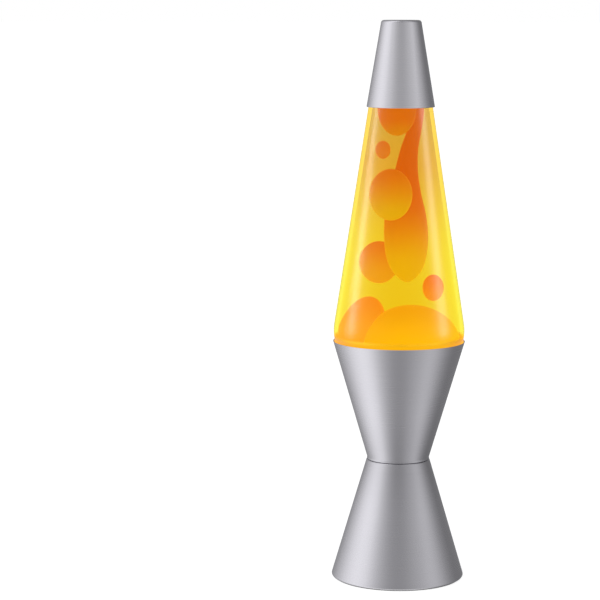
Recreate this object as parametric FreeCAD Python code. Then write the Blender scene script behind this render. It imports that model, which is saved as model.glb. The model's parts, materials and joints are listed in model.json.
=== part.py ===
"""Liquid-motion table lamp: two spun cones, a tapered glass globe of wax and liquid, and a lift-off cap.

Millimetres. +Z is up, and the origin is the centre of the foot, on the table.
Run it from its own folder: it writes one STEP file for each sub-part to parts/.
"""

import FreeCAD
import Part
import math
import os

os.makedirs("parts", exist_ok=True)

# The lamp's outline
HEIGHT = 368.3
WAIST_Z, WAIST_R = 80.9, 20.43
FOOT_R = 44.3           # the lower cone's radius, carried down to the table
RIM_Z, RIM_R = 158.5, 43.42
CAP_RIM_Z, CAP_RIM_R = 312.2, 22.3
CAP_TOP_R = 12.95       # the cap's radius, carried up to its top
WALL = 0.8              # spun aluminium
FIT = 0.02              # left between parts that touch
PAST = 1.0              # how far a drill or a cut-off outline runs past the face it cuts
LOWER_SLOPE = (FOOT_R - WAIST_R) / WAIST_Z
BOWL_SLOPE = (RIM_R - WAIST_R) / (RIM_Z - WAIST_Z)
CAP_SLOPE = (CAP_RIM_R - CAP_TOP_R) / (HEIGHT - CAP_RIM_Z)
LOWER_WALL = WALL * math.hypot(1, LOWER_SLOPE)      # the wall, measured along a radius
BOWL_WALL = WALL * math.hypot(1, BOWL_SLOPE)
SEAM = 0.3              # the dark line between the two cones

# Foot
FOOT_GAP = 0.5          # the lower cone's edge stands this far above the table
RING_PLATE_Z, RING_PLATE_IN = 2.6, 31.5
FOOT_RING_OUT, FOOT_RING_IN = 42.2, 37.6
COVER_R, COVER_Z = 37.2, 1.2
COVER_SCREW_PCR, COVER_SCREW_R, COVER_SCREW_PLAY = 34.3, 1.45, 0.1
GROMMET_Z, GROMMET_R, GROMMET_OUT, GROMMET_IN = 18.0, 7.0, 2.4, 3.2
GROMMET_HOLE_R, CORD_R = 5.4, 3.2
GROMMET_DRILL = 8.0     # the hole's drill, each way from the wall

# Waist
LIP_DROP = 1.2          # how far the bowl's turned-out lip hangs below the waist
NECK_R, SHELF_Z, SHELF_HOLE_R = 19.5, 82.0, 13.6
PLATE_THICK, PLATE_HOLE_R = 1.2, 11.7
RIVET_PCR, RIVET_R, RIVET_HEAD_R = 16.1, 1.45, 2.2

# Lamp holder and bulb
HOLDER_R, HOLDER_SHOULDER_R, HOLDER_BODY_R = 11.5, 13.2, 12.6
HOLDER_BOTTOM, HOLDER_TOP, HOLDER_FLOOR = 62.0, 100.0, 77.6
HOLDER_BORE_R, HOLDER_FLOOR_THICK = 9.35, 3.0
HOLDER_STEP_Z, HOLDER_HOLLOW_R, HOLDER_CORD_R = 76.0, 9.8, 3.4
CONTACT_THICK, CONTACT_RIVET_R, CONTACT_HEAD_R = 0.4, 1.1, 1.9
TERMINAL_X, TERMINAL_THICK, TERMINAL_SCREW_R, TERMINAL_HOLE_R = 6.0, 0.6, 1.1, 1.15
THREAD_R, THREAD_ROOT_R, THREAD_PITCH, THREAD_TURNS, THREAD_Z = 8.32, 7.72, 2.8, 4, 86.0
THREAD_GAP = 0.08
THREAD_ROUND = 0.55
TIP_Z, INSULATOR_Z, BULB_BASE_Z, BULB_BASE_TOP = 80.6, 81.9, 83.9, 100.6
BULB_TOP, BULB_R, BULB_NECK_R = 139.5, 17.4, 7.2
STEM_BOTTOM, STEM_TOP = 97.4, 117.0
FILAMENT_Z, FILAMENT_X, FILAMENT_RISE, FILAMENT_R = 127.3, 6.95, 2.9, 0.3

# Globe
GLOBE_TOP_R = 20.97     # at the cap's rim
GLOBE_WIDE_Z, GLOBE_WIDE_R = 174.5, 41.95
GLOBE_SLOPE = (GLOBE_WIDE_R - GLOBE_TOP_R) / (CAP_RIM_Z - GLOBE_WIDE_Z)
SEAT_GAP = 0.3          # between the glass and the bowl it rests in
GLOBE_FLOOR, SHOULDER_Z, GLASS = 144.5, 333.0, 2.6
NECK_OUT, NECK_Z, FINISH_R, MOUTH_Z = 11.6, 341.0, 13.0, 354.0
LINER, CLOSURE_R, CLOSURE_BOTTOM, FLUTES = 0.7, 13.7, 347.8, 21
CLOSURE_SHEET = 0.35
LIQUID_TOP, WAX_LEVEL = 331.5, 157.0
COIL_R, COIL_WIRE, COIL_TURNS = 27.0, 0.9, 3
WAX_GAP = 0.3           # liquid left round the wax that floats free


def vector(radius, z):
    return FreeCAD.Vector(radius, 0, z)


def rounded_edges(corners):
    """Straight edges round a closed outline of (radius, z, fillet) corners, each fillet a tangent arc."""
    count = len(corners)
    cuts = []
    for i, (radius, z, fillet) in enumerate(corners):
        here = vector(radius, z)
        back = (vector(*corners[i - 1][:2]) - here).normalize()
        ahead = (vector(*corners[(i + 1) % count][:2]) - here).normalize()
        if fillet <= 0:
            cuts.append((here, None, here))
            continue
        half = back.getAngle(ahead) / 2
        reach = fillet / math.tan(half)
        middle = (back + ahead).normalize() * (fillet / math.sin(half) - fillet)
        cuts.append((here + back * reach, here + middle, here + ahead * reach))
    edges = []
    for i, (start, middle, end) in enumerate(cuts):
        if middle is not None:
            edges.append(Part.Arc(start, middle, end).toShape())
        following = cuts[(i + 1) % count][0]
        if (following - end).Length > 1e-6:
            edges.append(Part.LineSegment(end, following).toShape())
    return edges


def turned(corners):
    """A solid of revolution about Z from a closed outline of (radius, z, fillet) corners."""
    face = Part.Face(Part.Wire(rounded_edges(corners)))
    return face.revolve(FreeCAD.Vector(0, 0, 0), FreeCAD.Vector(0, 0, 1), 360)


def beside(line, distance):
    """A line of corners moved sideways by a distance, to the left of the way it runs."""
    normals = []
    for (r0, z0, _), (r1, z1, _) in zip(line, line[1:]):
        length = math.hypot(r1 - r0, z1 - z0)
        normals.append(((z0 - z1) / length, (r1 - r0) / length))
    parallel = []
    for i, (radius, z, fillet) in enumerate(line):
        n0 = normals[max(i - 1, 0)]
        n1 = normals[min(i, len(normals) - 1)]
        share = distance / (1 + n0[0] * n1[0] + n0[1] * n1[1])
        turn = n0[0] * n1[1] - n0[1] * n1[0]
        inner = max(fillet - distance, 0) if turn > 0 else fillet + distance
        inner = inner if fillet > 0 else 0
        parallel.append((radius + (n0[0] + n1[0]) * share, z + (n0[1] + n1[1]) * share, inner))
    return parallel


def sheet(line, thickness):
    """A turned sheet whose outer face follows the line, with its thickness to the line's left."""
    return turned(line + beside(line, thickness)[::-1])


def disc(radius, bottom, top):
    return Part.makeCylinder(radius, top - bottom, FreeCAD.Vector(0, 0, bottom))


def between(shape, bottom, top):
    """The part of a shape between two heights."""
    return shape.common(disc(HEIGHT, bottom, top))


def around(shape, count, first=0.0):
    """Equal copies of a shape round the Z axis."""
    copies = []
    for i in range(count):
        copy = shape.copy()
        copy.rotate(FreeCAD.Vector(0, 0, 0), FreeCAD.Vector(0, 0, 1), first + 360.0 * i / count)
        copies.append(copy)
    return copies


def ellipsoid(centre, reach, lean=0.0):
    """A ball stretched to its reach along X, Y and Z, its top leaning towards +X by an angle."""
    stretch = FreeCAD.Matrix()
    stretch.scale(*reach)
    ball = Part.makeSphere(1.0).transformGeometry(stretch)
    ball.rotate(FreeCAD.Vector(0, 0, 0), FreeCAD.Vector(0, 1, 0), lean)
    ball.translate(FreeCAD.Vector(*centre))
    return ball


def pan_screw(head_r, head_h, shank_r, length):
    """A cross-slotted pan screw: its head stands on z = 0 and its shank hangs below."""
    body = turned([(0, -length, 0), (shank_r - 0.3, -length, 0), (shank_r, 0.4 - length, 0), (shank_r, 0, 0),
                   (head_r, 0, 0), (head_r, head_h, head_h * 0.7), (0, head_h, 0)])
    for angle in (0, 90):
        slot = Part.makeBox(head_r * 1.2, head_r * 0.22, head_h, FreeCAD.Vector(-head_r * 0.6, -head_r * 0.11,
                                                                               head_h * 0.45))
        slot.rotate(FreeCAD.Vector(0, 0, 0), FreeCAD.Vector(0, 0, 1), angle)
        body = body.cut(slot)
    return body


def moved(shape, x=0.0, y=0.0, z=0.0):
    copy = shape.copy()
    copy.translate(FreeCAD.Vector(x, y, z))
    return copy


def upside_down(shape):
    copy = shape.copy()
    copy.rotate(FreeCAD.Vector(0, 0, 0), FreeCAD.Vector(1, 0, 0), 180)
    return copy


def export(name, shape):
    if isinstance(shape, list):
        shape = Part.makeCompound(shape)
    shape.exportStep("parts/" + name + ".step")


# Outline radii at a height

def lower_cone_r(z):
    return FOOT_R - LOWER_SLOPE * z


def bowl_r(z):
    return WAIST_R + BOWL_SLOPE * (z - WAIST_Z)


def bowl_inside_r(z):
    return bowl_r(z) - BOWL_WALL


def cap_r(z):
    return CAP_RIM_R - CAP_SLOPE * (z - CAP_RIM_Z)


def globe_r(z):
    return GLOBE_TOP_R + GLOBE_SLOPE * (CAP_RIM_Z - z)


# Foot

def wall_placed(shape):
    """A shape built along Z, stood straight out of the lower cone's wall at the back."""
    out = FreeCAD.Vector(0, 1, LOWER_SLOPE).normalize()
    centre = FreeCAD.Vector(0, lower_cone_r(GROMMET_Z), GROMMET_Z)
    copy = shape.copy()
    copy.Placement = FreeCAD.Placement(centre, FreeCAD.Rotation(FreeCAD.Vector(0, 0, 1), out))
    return copy


def through(radius, circle_r, bottom, top, count=3, first=90.0):
    """Drill bodies for a ring of upright holes."""
    drill = moved(disc(radius, bottom, top), x=circle_r)
    return Part.makeCompound(around(drill, count, first))


def lower_cone():
    """The foot's cone: it turns in at the waist to a neck and a shelf with a hole for the lamp holder."""
    top = WAIST_Z - LIP_DROP - SEAM
    line = [(lower_cone_r(-PAST), -PAST, 0), (lower_cone_r(top), top, 0.5), (NECK_R, top + 0.2, 0.1),
            (NECK_R, SHELF_Z, 1.0), (SHELF_HOLE_R, SHELF_Z, 0)]
    shell = between(sheet(line, WALL), FOOT_GAP, SHELF_Z + PAST)
    hole = wall_placed(disc(GROMMET_HOLE_R, -GROMMET_DRILL, GROMMET_DRILL))
    return shell.cut(hole).cut(through(RIVET_R, RIVET_PCR, SHELF_Z - WALL - PAST, SHELF_Z + PAST))


def base_ring():
    """A stamped ring inside the foot that carries the cover: flat, with a lip up the cone's wall."""
    def inside(z):
        return lower_cone_r(z) - LOWER_WALL - FIT
    lip = 6.5
    line = [(RING_PLATE_IN, RING_PLATE_Z, 0), (inside(RING_PLATE_Z), RING_PLATE_Z, 1.0),
            (inside(RING_PLATE_Z + lip), RING_PLATE_Z + lip, 0)]
    holes = through(COVER_SCREW_R + COVER_SCREW_PLAY, COVER_SCREW_PCR, RING_PLATE_Z - PAST,
                    RING_PLATE_Z + WALL + PAST)
    return sheet(line, WALL).cut(holes)


def foot_ring():
    """The rubber ring that the lamp stands on."""
    edge = 0.5
    return turned([(FOOT_RING_IN, 0, edge), (FOOT_RING_OUT, 0, edge), (FOOT_RING_OUT, RING_PLATE_Z, 0),
                   (FOOT_RING_IN, RING_PLATE_Z, 0)])


def bottom_cover():
    """A flat cover with a ring of rounded air slots and holes for its three screws."""
    slot_count, slot_r, slot_from, slot_to = 12, 1.3, 15.0, 26.0
    deep = RING_PLATE_Z + PAST
    slot = moved(disc(slot_r, -deep, deep), x=slot_from).fuse(moved(disc(slot_r, -deep, deep), x=slot_to))
    slot = slot.fuse(Part.makeBox(slot_to - slot_from, 2 * slot_r, 2 * deep,
                                  FreeCAD.Vector(slot_from, -slot_r, -deep)))
    plate = turned([(0, COVER_Z, 0), (COVER_R, COVER_Z, 0.4), (COVER_R, RING_PLATE_Z, 0),
                    (0, RING_PLATE_Z, 0)])
    plate = plate.cut(Part.makeCompound(around(slot, slot_count)))
    return plate.cut(through(COVER_SCREW_R + COVER_SCREW_PLAY, COVER_SCREW_PCR, 0, RING_PLATE_Z + PAST))


def cover_screws():
    head_r, head_h, length = 2.6, 1.05, 6.0
    screw = upside_down(pan_screw(head_r, head_h, COVER_SCREW_R, length))
    return around(moved(screw, x=COVER_SCREW_PCR, z=COVER_Z), 3, 90.0)


def cover_clips():
    """Sheet-metal nuts above the ring: a square leaf with a pressed-up thread."""
    side, leaf, barrel_r, barrel_h = 6.4, 0.8, 2.3, 2.6
    bottom = RING_PLATE_Z + WALL
    clip = Part.makeBox(side, side, leaf, FreeCAD.Vector(-side / 2, -side / 2, bottom))
    clip = clip.fuse(disc(barrel_r, bottom, bottom + barrel_h))
    clip = clip.cut(disc(COVER_SCREW_R, bottom - PAST, bottom + barrel_h + PAST))
    return around(moved(clip, x=COVER_SCREW_PCR), 3, 90.0)


def cord_grommet(cone):
    """A bush in the lower cone's back wall, with a flange each side and a bore for the cord."""
    body = turned([(CORD_R, -GROMMET_IN, 0.5), (GROMMET_R - 0.6, -GROMMET_IN, 0.6), (GROMMET_R, 0, 0),
                   (GROMMET_R, GROMMET_OUT, 1.0), (CORD_R, GROMMET_OUT, 0.5)])
    return wall_placed(body).cut(cone)


# Waist

def bowl():
    """The upper cone: open at both ends, its lower edge turned out over the lower cone's neck."""
    bottom = WAIST_Z - LIP_DROP
    line = [(lower_cone_r(bottom - PAST), bottom - PAST, 0), (WAIST_R, WAIST_Z, 1.5),
            (bowl_r(RIM_Z + PAST), RIM_Z + PAST, 0)]
    return between(sheet(line, WALL), bottom, RIM_Z)


def waist_plate():
    """A steel disc wedged in the bowl above the shelf: riveted down, it clamps the two cones together."""
    top = SHELF_Z + PLATE_THICK
    plate = turned([(PLATE_HOLE_R, SHELF_Z, 0), (bowl_inside_r(SHELF_Z) - FIT, SHELF_Z, 0),
                    (bowl_inside_r(top) - FIT, top, 0), (PLATE_HOLE_R, top, 0)])
    return plate.cut(through(RIVET_R, RIVET_PCR, SHELF_Z - PAST, top + PAST))


def waist_rivets():
    head, soft = 0.9, 0.7
    low, high = SHELF_Z - WALL, SHELF_Z + PLATE_THICK
    rivet = turned([(0, low - head, 0), (RIVET_HEAD_R, low - head, soft), (RIVET_HEAD_R, low, 0),
                    (RIVET_R, low, 0), (RIVET_R, high, 0), (RIVET_HEAD_R, high, 0),
                    (RIVET_HEAD_R, high + head, soft), (0, high + head, 0)])
    return around(moved(rivet, x=RIVET_PCR), 3, 90.0)


# Lamp holder

def thread_line(crest, root, extra):
    """The side of a thread as rings, rising: root and crest corners, both moved out by a gap."""
    line = []
    for turn in range(THREAD_TURNS):
        z = THREAD_Z + turn * THREAD_PITCH
        line.append((root + extra, z, THREAD_ROUND))
        line.append((crest + extra, z + THREAD_PITCH / 2, THREAD_ROUND))
    line.append((root + extra, THREAD_Z + THREAD_TURNS * THREAD_PITCH, THREAD_ROUND))
    return line


def lamp_holder():
    """The moulded holder: a shouldered cup for the bulb over a hollow for the terminals."""
    rivet_hole = CONTACT_RIVET_R + 0.1
    step = HOLDER_SHOULDER_R - HOLDER_BODY_R
    floor_low = HOLDER_FLOOR - HOLDER_FLOOR_THICK
    body = turned([(HOLDER_HOLLOW_R, HOLDER_BOTTOM, 0), (HOLDER_BODY_R, HOLDER_BOTTOM, 0.4),
                   (HOLDER_BODY_R, HOLDER_STEP_Z, 0.2), (HOLDER_SHOULDER_R, HOLDER_STEP_Z + step, 0.2),
                   (HOLDER_SHOULDER_R, SHELF_Z, 0), (HOLDER_R, SHELF_Z, 0),
                   (HOLDER_R, HOLDER_TOP, 0.5), (HOLDER_BORE_R, HOLDER_TOP, 0.4),
                   (HOLDER_BORE_R, HOLDER_FLOOR, 0), (rivet_hole, HOLDER_FLOOR, 0),
                   (rivet_hole, floor_low, 0), (HOLDER_HOLLOW_R, floor_low, 0)])
    screw_hole = moved(disc(TERMINAL_HOLE_R, floor_low - PAST, floor_low + 2 * PAST), x=TERMINAL_X)
    return body.cut(Part.makeCompound(around(screw_hole, 2)))


def holder_ring_nut():
    """The ring nut that clamps the plate against the holder's shoulder, with eight grips."""
    low, high, outer = SHELF_Z + PLATE_THICK, SHELF_Z + PLATE_THICK + 4.0, 13.6
    inner = HOLDER_R + FIT
    ring = turned([(inner, low, 0), (outer, low, 0.3), (outer, high, 0.3), (inner, high, 0)])
    grip = Part.makeBox(1.4, 2.2, 6.0, FreeCAD.Vector(outer - 0.8, -1.1, low + 0.8))
    return ring.cut(Part.makeCompound(around(grip, 8, 22.5)))


def holder_screw_shell():
    """The brass screw shell: a rolled sheet with thread rings and a lip that centres it in the holder."""
    inner = thread_line(THREAD_R, THREAD_ROOT_R, THREAD_GAP)
    lip = HOLDER_BORE_R - 0.45
    line = [(THREAD_R + THREAD_GAP, 84.9, 0)] + inner + [(THREAD_R + THREAD_GAP, 98.0, 0.3), (lip, 98.9, 0)]
    return sheet(line[::-1], 0.4)


def holder_contact():
    """The spring contact: a brass strip folded back over itself under the bulb's tip."""
    width, thick = 4.0, CONTACT_THICK
    base, top = HOLDER_FLOOR, TIP_Z - 0.1
    outline = [(-4.6, base), (5.6, base), (6.4, base + 0.8), (6.4, top - 0.8), (5.6, top), (-2.6, top),
               (-2.6, top - thick), (5.4, top - thick), (6.0, top - 1.0), (6.0, base + 1.0),
               (5.4, base + thick), (-4.6, base + thick)]
    points = [FreeCAD.Vector(x, -width / 2, z) for x, z in outline + outline[:1]]
    strip = Part.Face(Part.makePolygon(points)).extrude(FreeCAD.Vector(0, width, 0))
    return strip.cut(disc(CONTACT_RIVET_R, base - PAST, base + PAST))


def holder_rivet():
    """The rivet through the holder's floor that fixes the contact."""
    low, high = HOLDER_FLOOR - HOLDER_FLOOR_THICK, HOLDER_FLOOR + CONTACT_THICK
    foot, head, soft = low - 0.8, high + 0.7, 0.5
    return turned([(0, foot, 0), (CONTACT_HEAD_R, foot, soft), (CONTACT_HEAD_R, low, 0),
                   (CONTACT_RIVET_R, low, 0), (CONTACT_RIVET_R, high, 0), (CONTACT_HEAD_R, high, 0),
                   (CONTACT_HEAD_R, head, soft), (0, head, 0)])


def holder_terminals():
    """Two brass terminal plates under the holder's floor."""
    side, inner_x = 5.0, 3.2
    top = HOLDER_FLOOR - HOLDER_FLOOR_THICK
    bottom = top - TERMINAL_THICK
    plate = Part.makeBox(side, side, TERMINAL_THICK, FreeCAD.Vector(inner_x, -side / 2, bottom))
    return around(plate.cut(moved(disc(TERMINAL_HOLE_R, bottom - PAST, top + PAST), x=TERMINAL_X)), 2)


def holder_terminal_screws():
    head_r, head_h, length = 1.9, 1.3, 2.4
    bottom = HOLDER_FLOOR - HOLDER_FLOOR_THICK - TERMINAL_THICK
    screw = upside_down(pan_screw(head_r, head_h, TERMINAL_SCREW_R, length))
    return around(moved(screw, x=TERMINAL_X, z=bottom), 2)


def holder_end_cap():
    """The holder's bottom cap, with a spigot and a hole for the cord."""
    spigot, deep, thick = HOLDER_HOLLOW_R - 0.1, 2.0, 1.6
    return turned([(HOLDER_CORD_R, HOLDER_BOTTOM - thick, 0.4), (HOLDER_BODY_R, HOLDER_BOTTOM - thick, 0.6),
                   (HOLDER_BODY_R, HOLDER_BOTTOM, 0), (spigot, HOLDER_BOTTOM, 0),
                   (spigot, HOLDER_BOTTOM + deep, 0.3), (HOLDER_CORD_R, HOLDER_BOTTOM + deep, 0)])


# Bulb

def bulb_screw_base():
    """The bulb's rolled metal base with thread rings."""
    line = [(6.7, BULB_BASE_Z, 0), (7.5, 85.0, 0.3)] + thread_line(THREAD_R, THREAD_ROOT_R, 0.0)
    line += [(8.0, 98.0, 0.4), (8.0, BULB_BASE_TOP, 0)]
    return sheet(line, 0.3)


def bulb_insulator():
    """The dark glass insulator round the bulb's tip."""
    neck_r, radius, top = 3.0, 6.1, BULB_BASE_Z + 1.4
    return turned([(0, INSULATOR_Z, 0), (neck_r, INSULATOR_Z, 0), (radius, BULB_BASE_Z, 0.4),
                   (radius, top, 0), (0, top, 0)])


def bulb_tip():
    return turned([(0, TIP_Z, 0), (2.3, TIP_Z, 1.2), (2.6, INSULATOR_Z, 0), (0, INSULATOR_Z, 0)])


def bulb_envelope():
    """Clear glass: a straight neck in the base, widening to a round-topped bulb."""
    line = [(BULB_NECK_R, 97.0, 0), (BULB_NECK_R, 103.5, 6.0), (BULB_R, 119.5, 8.0),
            (BULB_R, BULB_TOP, BULB_R - 0.2), (0, BULB_TOP, 0)]
    return sheet(line, 0.8)


def bulb_stem():
    """The glass stem that carries the wires."""
    return turned([(0, STEM_BOTTOM, 0), (5.8, STEM_BOTTOM, 0.3), (5.2, STEM_BOTTOM + 1.2, 0.5),
                   (2.4, 102.0, 2.0), (2.0, 112.0, 1.0), (1.7, STEM_TOP, 0.8), (0, STEM_TOP, 0)])


def rod(start, end, radius):
    """A straight round wire between two points."""
    start, end = FreeCAD.Vector(*start), FreeCAD.Vector(*end)
    return Part.makeCylinder(radius, (end - start).Length, start, end - start)


def bulb_lead_wires():
    """Two leads that spread from the stem's top, and the straight support between them."""
    lead_r, support_r = 0.28, 0.2
    bottom, top = STEM_TOP + 0.1, FILAMENT_Z - 0.5
    sides = [rod((side, 0, bottom), (side * FILAMENT_X, 0, top), lead_r) for side in (-1, 1)]
    return sides + [rod((0, 0, bottom), (0, 0, FILAMENT_Z + FILAMENT_RISE - 0.7), support_r)]


def bulb_filament():
    """The filament as one arched wire."""
    arch = Part.Arc(FreeCAD.Vector(-FILAMENT_X, 0, FILAMENT_Z),
                    FreeCAD.Vector(0, 0, FILAMENT_Z + FILAMENT_RISE),
                    FreeCAD.Vector(FILAMENT_X, 0, FILAMENT_Z))
    path = Part.Wire([arch.toShape()])
    start = arch.value(arch.FirstParameter)
    along = arch.tangent(arch.FirstParameter)[0]
    section = Part.Wire([Part.Circle(start, along, FILAMENT_R).toShape()])
    return path.makePipeShell([section], True, False)


# Globe

def globe_line():
    """The glass's outer face from the floor's centre to the foot of the neck."""
    def seat_r(z):
        return bowl_inside_r(z) - SEAT_GAP * math.hypot(1, BOWL_SLOPE)
    bulge_z = (globe_r(0) - seat_r(0)) / (BOWL_SLOPE + GLOBE_SLOPE)
    return [(0, GLOBE_FLOOR, 0), (seat_r(GLOBE_FLOOR), GLOBE_FLOOR, 7.0), (globe_r(bulge_z), bulge_z, 31.0),
            (globe_r(SHOULDER_Z), SHOULDER_Z, 6.0), (NECK_OUT, NECK_Z, 4.0), (NECK_OUT, NECK_Z + 6, 0)]


def globe_cavity():
    """The space inside the glass, and on up through the mouth."""
    line = beside(globe_line(), GLASS)[:-1]
    return turned(line + [(line[-1][0], HEIGHT, 0), (0, HEIGHT, 0)])


def globe_glass():
    """The bottle: a flat floor, a seat that follows the bowl, a tapered wall, and a ringed neck."""
    ring_low, ring_high = CLOSURE_BOTTOM + 0.6, CLOSURE_BOTTOM + 3.4
    line = globe_line()[:-1]
    line += [(NECK_OUT, ring_low, 0.5), (FINISH_R, ring_low, 0.8), (FINISH_R, ring_high, 0.8),
             (NECK_OUT + 0.7, ring_high + 0.6, 0.6), (NECK_OUT + 0.5, MOUTH_Z, 0.7), (0, MOUTH_Z, 0)]
    return turned(line).cut(globe_cavity())


def closure_liner():
    return disc(NECK_OUT + 0.9, MOUTH_Z, MOUTH_Z + LINER)


def closure():
    """The crimped metal closure: a thin cup with a ring of flutes down its skirt."""
    top = MOUTH_Z + LINER + CLOSURE_SHEET
    inner = [(0, CLOSURE_BOTTOM - PAST, 0), (CLOSURE_R - CLOSURE_SHEET, CLOSURE_BOTTOM - PAST, 0),
             (CLOSURE_R - CLOSURE_SHEET, top - CLOSURE_SHEET, 0.6), (0, top - CLOSURE_SHEET, 0)]
    outer = turned([(0, CLOSURE_BOTTOM, 0), (CLOSURE_R, CLOSURE_BOTTOM, 0), (CLOSURE_R, top, 1.0),
                    (0, top, 0)])
    flute = moved(disc(0.55, CLOSURE_BOTTOM, top - 1.6), x=CLOSURE_R - 0.15)
    return outer.fuse(around(flute, FLUTES)).cut(turned(inner))


def heat_coil():
    """The wire coil on the globe's floor, as plain rings lying on each other."""
    gap = 0.05
    low = GLOBE_FLOOR + GLASS + COIL_WIRE + gap
    step = 2 * COIL_WIRE + gap
    return [Part.makeTorus(COIL_R, COIL_WIRE, vector(0, low + step * turn)) for turn in range(COIL_TURNS)]


def top_cap():
    """The lift-off cap: a tapered sheet closed at the top, open below."""
    line = [(cap_r(CAP_RIM_Z - PAST), CAP_RIM_Z - PAST, 0), (CAP_TOP_R, HEIGHT, 2.0), (0, HEIGHT, 0)]
    return between(sheet(line, WALL), CAP_RIM_Z, HEIGHT)


# Wax and liquid: centres and reaches along X, Y and Z
POOL = ((8.2, -2.0, 154.2), (33.1, 30.0, 28.0))
MOUND, MOUND_LEAN = ((-25.5, 6.0, 161.5), (15.3, 17.0, 26.2)), 18.7
TOP_BLOB = ((-2.4, -4.0, 311.0), (12.6, 8.5, 17.4))
BALL = ((-6.0, -12.2, 255.9), (14.0, 11.0, 16.8))
BEAD = ((-11.3, -8.0, 284.7), (4.9, 4.9, 5.9))
LEFT_EGG = ((-13.6, 18.2, 208.3), (13.2, 6.8, 14.1))
RIGHT_EGG = ((22.0, -14.0, 195.5), (6.9, 6.5, 8.6))
# The column's sections, from its round foot up: height, centre along X and Y, reach along X and Y
COLUMN = [(196.8, 4.9, 5.0, 1.2, 1.0), (198.4, 4.9, 5.0, 4.3, 3.6), (201.4, 4.9, 5.0, 7.6, 6.1),
          (206.0, 4.7, 5.1, 10.7, 8.2), (213.0, 4.4, 5.5, 13.1, 9.6), (226.0, 4.2, 6.4, 14.5, 10.2),
          (240.5, 3.7, 8.0, 13.6, 9.6), (254.0, 3.3, 9.8, 10.8, 8.4), (268.2, 3.9, 10.5, 7.9, 6.8),
          (283.7, 5.8, 9.4, 5.9, 5.5), (298.9, 9.3, 7.0, 4.8, 4.8), (312.0, 10.3, 5.6, 4.9, 4.6),
          (322.0, 9.6, 4.6, 3.4, 3.2), (326.0, 9.4, 4.4, 1.0, 0.9)]


def column():
    """The tall wax column: a smooth skin over its level sections."""
    sections = []
    for z, x, y, reach_x, reach_y in COLUMN:
        oval = Part.Ellipse(FreeCAD.Vector(x, y, z), reach_x, reach_y)
        sections.append(Part.Wire([oval.toShape()]))
    return Part.makeLoft(sections, True, False)


def wax_pool(cavity):
    """The melted wax on the globe's floor: level at the glass, with a dome over it."""
    level = disc(GLOBE_WIDE_R + 5, GLOBE_FLOOR, WAX_LEVEL)
    return cavity.common(ellipsoid(*POOL).fuse(level))


def build():
    cone = lower_cone()
    export("base_lower_cone", cone)
    export("base_bowl", bowl())
    export("base_ring", base_ring())
    export("foot_ring", foot_ring())
    export("bottom_cover", bottom_cover())
    export("cover_screws", cover_screws())
    export("cover_clips", cover_clips())
    export("cord_grommet", cord_grommet(cone))
    export("waist_plate", waist_plate())
    export("waist_rivets", waist_rivets())
    export("lamp_holder", lamp_holder())
    export("holder_ring_nut", holder_ring_nut())
    export("holder_screw_shell", holder_screw_shell())
    export("holder_contact", holder_contact())
    export("holder_rivet", holder_rivet())
    export("holder_terminals", holder_terminals())
    export("holder_terminal_screws", holder_terminal_screws())
    export("holder_end_cap", holder_end_cap())
    export("bulb_screw_base", bulb_screw_base())
    export("bulb_insulator", bulb_insulator())
    export("bulb_tip", bulb_tip())
    export("bulb_envelope", bulb_envelope())
    export("bulb_stem", bulb_stem())
    export("bulb_lead_wires", bulb_lead_wires())
    export("bulb_filament", bulb_filament())
    export("globe_glass", globe_glass())
    export("closure_liner", closure_liner())
    export("globe_closure", closure())
    export("top_cap", top_cap())

    cavity = between(globe_cavity(), GLOBE_FLOOR, LIQUID_TOP)
    coil = heat_coil()
    pool = wax_pool(cavity)
    mound = cavity.common(ellipsoid(*MOUND, MOUND_LEAN)).cut(pool)
    top_blob = ellipsoid(*TOP_BLOB)
    tall = column().cut(top_blob)
    free = {"wax_ball": BALL, "wax_bead": BEAD, "wax_left_egg": LEFT_EGG, "wax_right_egg": RIGHT_EGG}
    liquid = cavity.cut(pool).cut(mound).cut(top_blob).cut(tall)
    for name, (centre, reach) in free.items():
        export(name, ellipsoid(centre, reach))
        liquid = liquid.cut(ellipsoid(centre, [r + WAX_GAP for r in reach]))
    export("heat_coil", coil)
    export("wax_pool", pool.cut(Part.makeCompound(coil)))
    export("wax_mound", mound)
    export("wax_top", top_blob)
    export("wax_column", tall)
    export("lamp_liquid", liquid)


build()
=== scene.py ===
"""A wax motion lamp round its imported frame: spun metal, tapered glass, coloured liquid and wax.

Metres. +Z is up, the foot's centre is the origin, and the front is towards -Y.
"""

import json
import math

import bmesh
import bpy
import numpy as np
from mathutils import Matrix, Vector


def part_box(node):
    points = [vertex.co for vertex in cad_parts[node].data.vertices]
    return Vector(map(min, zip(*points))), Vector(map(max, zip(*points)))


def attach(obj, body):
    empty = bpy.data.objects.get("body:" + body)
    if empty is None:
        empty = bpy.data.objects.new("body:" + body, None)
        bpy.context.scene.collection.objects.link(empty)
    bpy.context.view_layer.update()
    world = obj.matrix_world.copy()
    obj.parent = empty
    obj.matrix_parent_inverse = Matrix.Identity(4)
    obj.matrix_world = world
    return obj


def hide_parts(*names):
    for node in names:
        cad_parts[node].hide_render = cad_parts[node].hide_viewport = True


MM = 0.001

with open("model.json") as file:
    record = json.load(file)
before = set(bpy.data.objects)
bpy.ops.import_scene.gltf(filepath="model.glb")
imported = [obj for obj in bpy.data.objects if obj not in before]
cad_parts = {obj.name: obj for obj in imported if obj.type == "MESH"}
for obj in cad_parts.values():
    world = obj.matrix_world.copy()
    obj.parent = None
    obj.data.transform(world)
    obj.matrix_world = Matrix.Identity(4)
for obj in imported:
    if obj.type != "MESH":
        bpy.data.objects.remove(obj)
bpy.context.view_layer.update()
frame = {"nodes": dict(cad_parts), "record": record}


# ---------------------------------------------------------------- sizes

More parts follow.
